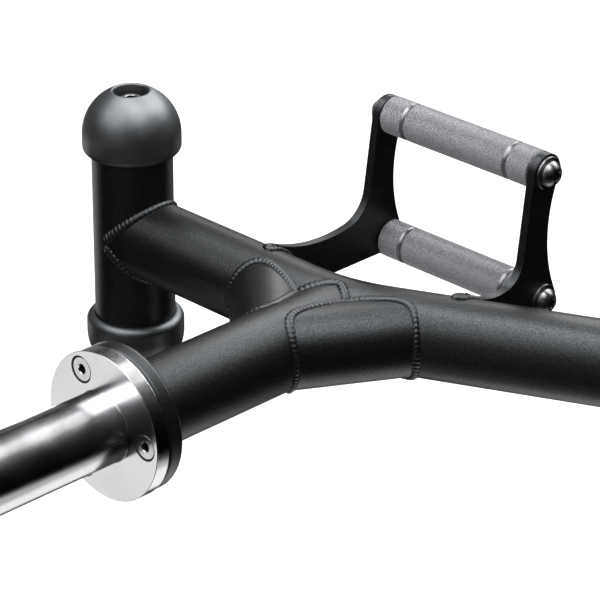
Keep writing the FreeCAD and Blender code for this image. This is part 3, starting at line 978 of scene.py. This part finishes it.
floor_gap, floor_half, sweep_drop = 0.5 * MM, 12, 0.6
floor_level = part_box("bottom_cap_right")[0].z - floor_gap
floor_paint = finish("floor paint", {"Base Color": (0.82, 0.82, 0.82, 1), "Roughness": 0.9,
                                     "Specular IOR Level": 0.0, "Emission Color": (1, 1, 1, 1)})
floor_tree = floor_paint.node_tree
floor_tree.links.new(light_path_mix(floor_tree, 1.0, 0.6),
                     floor_tree.nodes["Principled BSDF"].inputs["Emission Strength"])
floor = sheet("floor", rectangle(UP * floor_level, OUT * floor_half, REAR * floor_half), [(0, 1, 2, 3)],
              floor_paint)
floor.visible_glossy = False
print("floor %.1f mm below the bar's middle" % (-floor_level / MM))

# %% [markdown]
# A catalogue picture of black and chrome metal is mostly a picture of its reflections. Two soft lamps
# give the plain light, and gloss doesn't see them. What shines is shaped by cards that only gloss
# sees: a black tent all round, walls and panels of light in it, and a black sweep below with a few
# pale sheets on it. Each card stands where one stretch of a tube, cap or flange finds its mirror
# image, so its name says what it does. The cards hide from the camera and from soft light, and cast
# no shadow.

# %% Two soft lamps
def lamp(name, place, aim, width, height, strength):
    """Soft rectangular lamp. A strength of 1 is one unit of light from each of its parts."""
    data = bpy.data.lights.new(name, "AREA")
    data.shape = "RECTANGLE"
    data.size, data.size_y = width, height
    data.energy = strength * width * height * math.pi
    holder = put(name, data)
    holder.location = place
    holder.rotation_euler = (Vector(aim) - Vector(place)).to_track_quat("-Z", "Y").to_euler()
    holder.visible_glossy = False
    print("%s: %.1f W" % (name, data.energy))


lamp("overhead softbox", (0.2, -0.2, 1.2), (0.2, -0.2, 0), 1.8, 1.8, 1.0)
lamp("sleeve side softbox", (2.0, 0.6, 1.2), (0.45, 0, 0), 1.2, 0.8, 0.8)

# %% Cards that only gloss sees
def card(name, corners, faces, tone):
    """Card seen only in reflections. A tone of 0 is black, 1 is white, more is a lit panel."""
    paint = bpy.data.materials.new(name + " paint")
    paint.use_nodes = True
    tree = paint.node_tree
    tree.nodes.clear()
    glow = tree.nodes.new("ShaderNodeEmission")
    glow.inputs["Color"].default_value = (1, 1, 1, 1)
    glow.inputs["Strength"].default_value = tone
    tree.links.new(glow.outputs[0], tree.nodes.new("ShaderNodeOutputMaterial").inputs["Surface"])
    piece = sheet(name, corners, faces, paint)
    piece.visible_camera = False
    piece.visible_diffuse = False
    piece.visible_shadow = False
    piece.visible_transmission = False


def wall(name, radius, low, high, turn_from, turn_to, tone, closed=False):
    """Upright curved card round the studio, closed on top if asked."""
    steps = max(6, round((turn_to - turn_from) / 15))
    turns = [math.radians(degrees) for degrees in evenly(turn_from, turn_to, steps)]
    corners = [(*polar(radius, turn), z) for z in (low, high) for turn in turns]
    rim = len(turns)
    faces = [(k, k + 1, rim + k + 1, rim + k) for k in range(steps)]
    if closed:
        faces.append(range(rim, rim + steps))
    card(name, corners, faces, tone)


def level_card(name, height, x0, y0, x1, y1, tone):
    """Level rectangular card, from one corner to the opposite one as seen from above."""
    card(name, [(x, y, height) for x, y in ((x0, y0), (x1, y0), (x1, y1), (x0, y1))], [(0, 1, 2, 3)], tone)


sweep_level, panel_level, reflector_level = floor_level - sweep_drop, 1.1, 0.231
wall("black tent", 3.6, sweep_level - 0.05, 3.2, 0, 360, 0.0, closed=True)
wall("sleeve side wall", 3.3, sweep_level, 3.2, -22, 22, 0.17)
wall("open end wall", 3.3, sweep_level, 0.9, 202, 292, 0.13)
wall("low open end wall", 3.2, sweep_level, -0.1, 270, 300, 0.3)

for name, x0, y0, x1, y1, tone in (
        ("main panel", 0.30, -0.45, 0.55, 0.60, 7.0),
        ("open end panel", 0.30, -0.95, 0.55, -0.45, 5.2),
        ("rear panel", 0.30, 0.60, 0.55, 0.90, 4.0),
        ("camera side panel", 0.55, -0.95, 1.10, 0.90, 2.5),
        ("strip over the sleeve", 0.05, -0.95, 0.30, 0.35, 1.25),
        ("strip beside the sleeve", -0.22, -0.40, 0.05, 0.05, 0.35),
        ("panel over the arm", -0.50, -0.45, -0.22, 0.35, 4.2),
        ("panel beyond the arm", -0.80, -0.95, -0.50, 0.60, 5.2),
        ("far panel", -1.60, -0.95, -1.10, 0.90, 9.6),
        ("far corner panel", -3.20, -2.60, -1.60, -1.60, 4.1),
        ("near corner panel", -1.60, -1.60, -1.10, -0.95, 4.1)):
    level_card(name, panel_level, x0, y0, x1, y1, tone)

level_card("black sweep", sweep_level - 0.01, -3.5, -3.5, 3.5, 3.5, 0.0)
for name, x0, y0, x1, y1, tone in (
        ("sweep before the flange", 1.10, -1.80, 2.30, -0.50, 0.96),
        ("sweep under the sleeve", 0.02, -0.20, 0.50, 0.40, 1.15),
        ("sweep beside the arm", 0.50, -0.80, 1.10, 0.40, 0.24),
        ("rear sweep", 0.00, 0.40, 0.25, 1.40, 0.64),
        ("open end sweep", -1.50, -3.40, -0.30, -1.60, 2.8),
        ("sweep left of the post", -0.40, -2.30, 1.25, -1.50, 1.1),
        ("sweep right of the post", -1.70, -0.70, -0.90, 0.10, 0.5)):
    level_card(name, sweep_level, x0, y0, x1, y1, tone)

level_card("reflector above the post", reflector_level, 0.308, -0.170, 0.393, -0.085, 5.2)
level_card("reflector over the cap", reflector_level, 0.335, -0.265, 0.395, -0.200, 3.5)
level_card("camera side corner", panel_level, 1.10, -1.30, 2.20, 0.20, 2.5)
card("flag beside the post", rectangle(Vector((0.555, -0.270, -0.055)), Vector((0.050, 0.050, 0)),
                                       UP * 0.085), [(0, 1, 2, 3)], 0.0)
print(sum(" paint" in paint.name for paint in bpy.data.materials) - 1, "cards round the bar")

# %% [markdown]
# The camera looks at the corner where the sleeve arm meets the side tube, from above the rear right.
# Its lens is long, as in most catalogue pictures, so the sleeve and the handles keep their
# proportions. A small shift sets that corner a little right of and below the middle of the frame.

# %% Camera
frame_pixels, sensor_mm = 600, 36


def look_at_corner(target, azimuth_deg, elevation_deg, roll_deg, distance, frame_point, lens_pixels):
    """Camera at a distance from the target, which lands on frame_point of the square frame."""
    azimuth, elevation, roll = map(math.radians, (azimuth_deg, elevation_deg, roll_deg))
    back = Vector((math.cos(elevation) * math.cos(azimuth),
                   math.cos(elevation) * math.sin(azimuth), math.sin(elevation)))
    level = Vector((-math.sin(azimuth), math.cos(azimuth), 0))
    rise = back.cross(level)
    right = level * math.cos(roll) + rise * math.sin(roll)
    upward = rise * math.cos(roll) - level * math.sin(roll)
    slide_x, slide_y = [(pixel - frame_pixels / 2) / lens_pixels * distance for pixel in frame_point]
    place = target + back * distance - right * slide_x + upward * slide_y
    data = bpy.data.cameras.new("catalogue camera")
    data.sensor_width = sensor_mm
    data.lens = lens_pixels / frame_pixels * sensor_mm
    holder = put("catalogue camera", data)
    turn = Matrix((right, upward, back)).transposed().to_4x4()
    holder.matrix_world = Matrix.Translation(place) @ turn
    bpy.context.scene.camera = holder
    print("camera at %.3f, %.3f, %.3f m with a %.0f mm lens" % (*place, data.lens))


look_at_corner(bend, azimuth_deg=44.85, elevation_deg=26.05, roll_deg=0.22, distance=2.141571,
               frame_point=(337.768, 321.431), lens_pixels=3073.267)
bpy.context.scene.view_settings.view_transform = "Standard"
